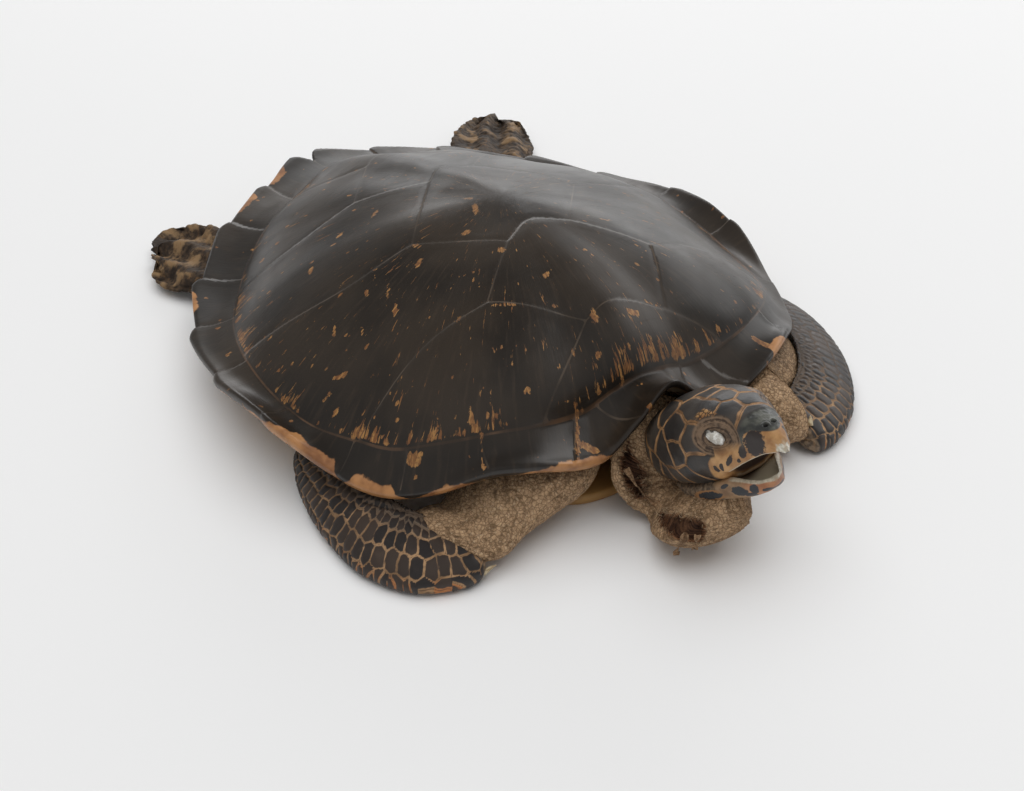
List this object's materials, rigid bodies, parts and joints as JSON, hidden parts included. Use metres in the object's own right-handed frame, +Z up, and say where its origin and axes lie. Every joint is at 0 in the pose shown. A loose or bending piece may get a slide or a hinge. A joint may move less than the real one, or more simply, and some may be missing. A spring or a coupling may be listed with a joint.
{
  "type": "mounted sea turtle",
  "caption": "Preserved hawksbill turtle lying on its belly: domed scute-covered shell with a serrated rear rim, raised beaked head, dried neck skin and folded flippers.",
  "frame": {"origin": "on the flat underside of the plastron, under the middle of the shell, where the specimen rests", "axes": "+Z up; the head looks along -Y, so +Y runs to the tail; +X is the animal's left"},
  "size_m": [0.3664, 0.5067, 0.1202],
  "materials": {
    "scutes": "glossy dark brown horn with amber flecks",
    "plastron_horn": "semi-gloss yellow-brown horn",
    "dried_skin": "matt, wrinkled dried skin",
    "flipper_scales": "dark horny scales with tan borders, satin",
    "head_scales": "slate-black horny plates with tan borders, satin",
    "beak_horn": "tan horn with dark bars, satin",
    "eye_filler": "chalky white filler with a slight gloss"
  },
  "bodies": {
    "root": {"carapace": "scutes", "plastron": "plastron_horn", "neck": "dried_skin", "right_shoulder": "dried_skin", "left_shoulder": "dried_skin", "tail": "dried_skin", "right_front_flipper": "flipper_scales", "left_front_flipper": "flipper_scales", "right_hind_flipper": "flipper_scales", "left_hind_flipper": "flipper_scales", "head": "head_scales", "lower_jaw": "beak_horn", "right_eye": "eye_filler", "left_eye": "eye_filler"}
  },
  "joints": []
}
